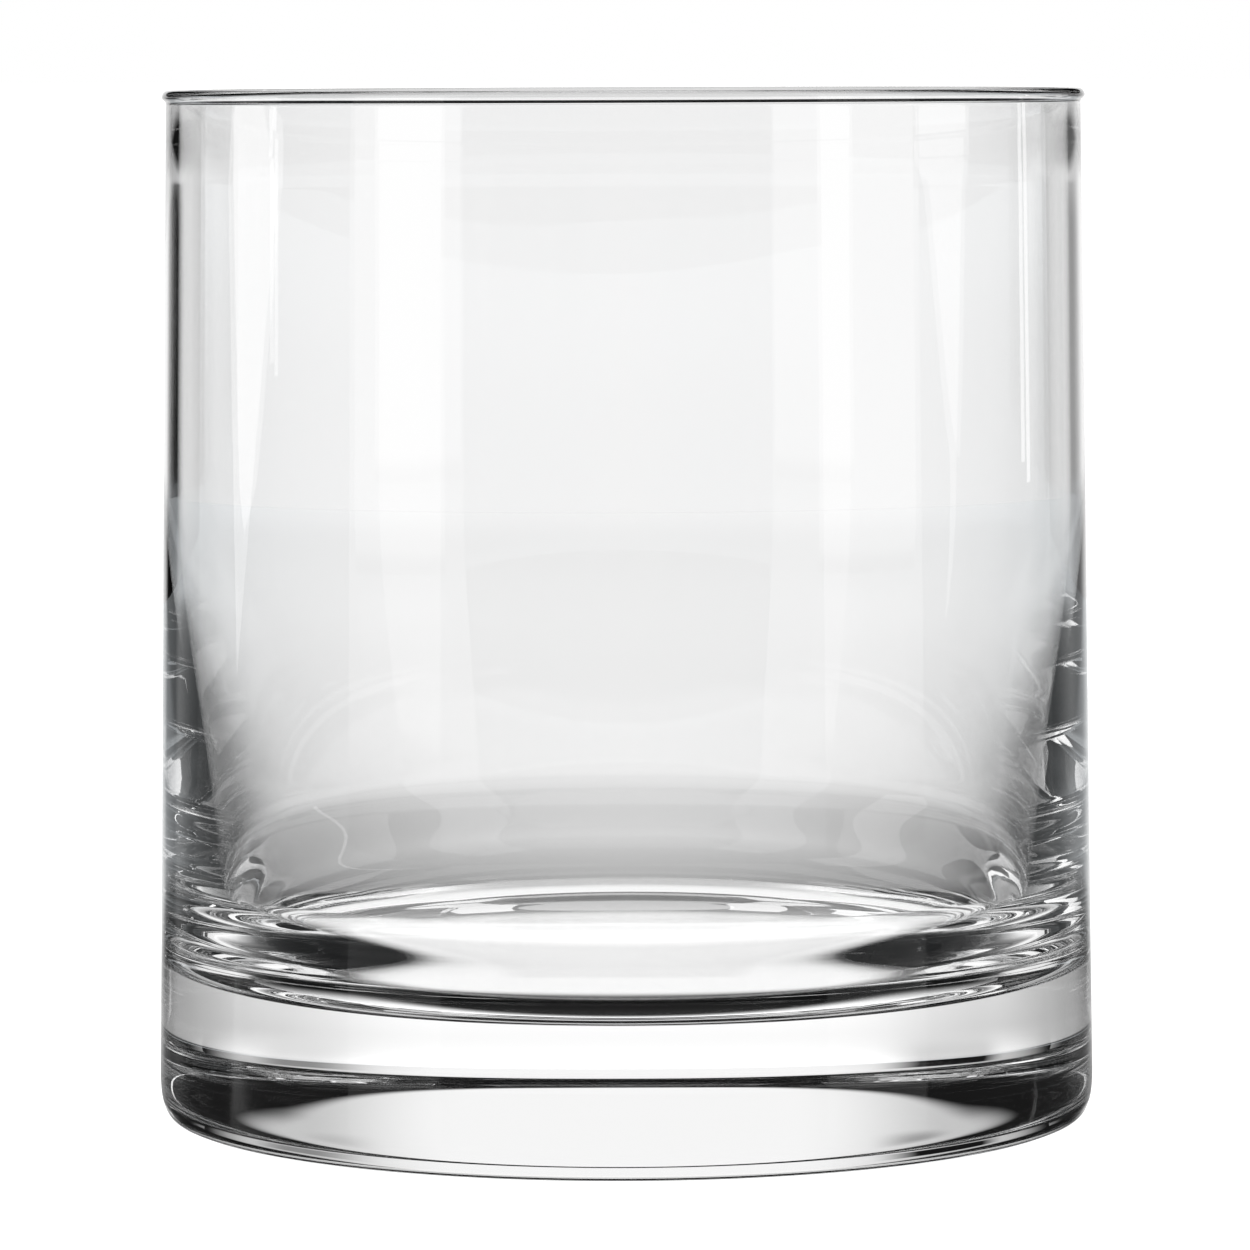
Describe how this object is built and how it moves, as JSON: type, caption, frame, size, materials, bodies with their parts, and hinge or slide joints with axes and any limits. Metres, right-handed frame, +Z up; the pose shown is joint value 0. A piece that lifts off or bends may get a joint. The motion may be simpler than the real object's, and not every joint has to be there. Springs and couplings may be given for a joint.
{
  "type": "whiskey tumbler",
  "caption": "Straight-sided clear glass whiskey tumbler with a thin fire-polished rim and a thick, heavy base on a narrow bearing ring.",
  "frame": {"origin": "centre of the plane that the foot rests on", "axes": "+Z up along the tumbler's axis, from foot to rim; X and Y are alike, because the tumbler is round"},
  "size_m": [0.086, 0.086, 0.0941],
  "materials": {
    "clear_glass": "fire-polished, clear and colourless"
  },
  "bodies": {
    "root": {"tumbler": "clear_glass"}
  },
  "joints": []
}
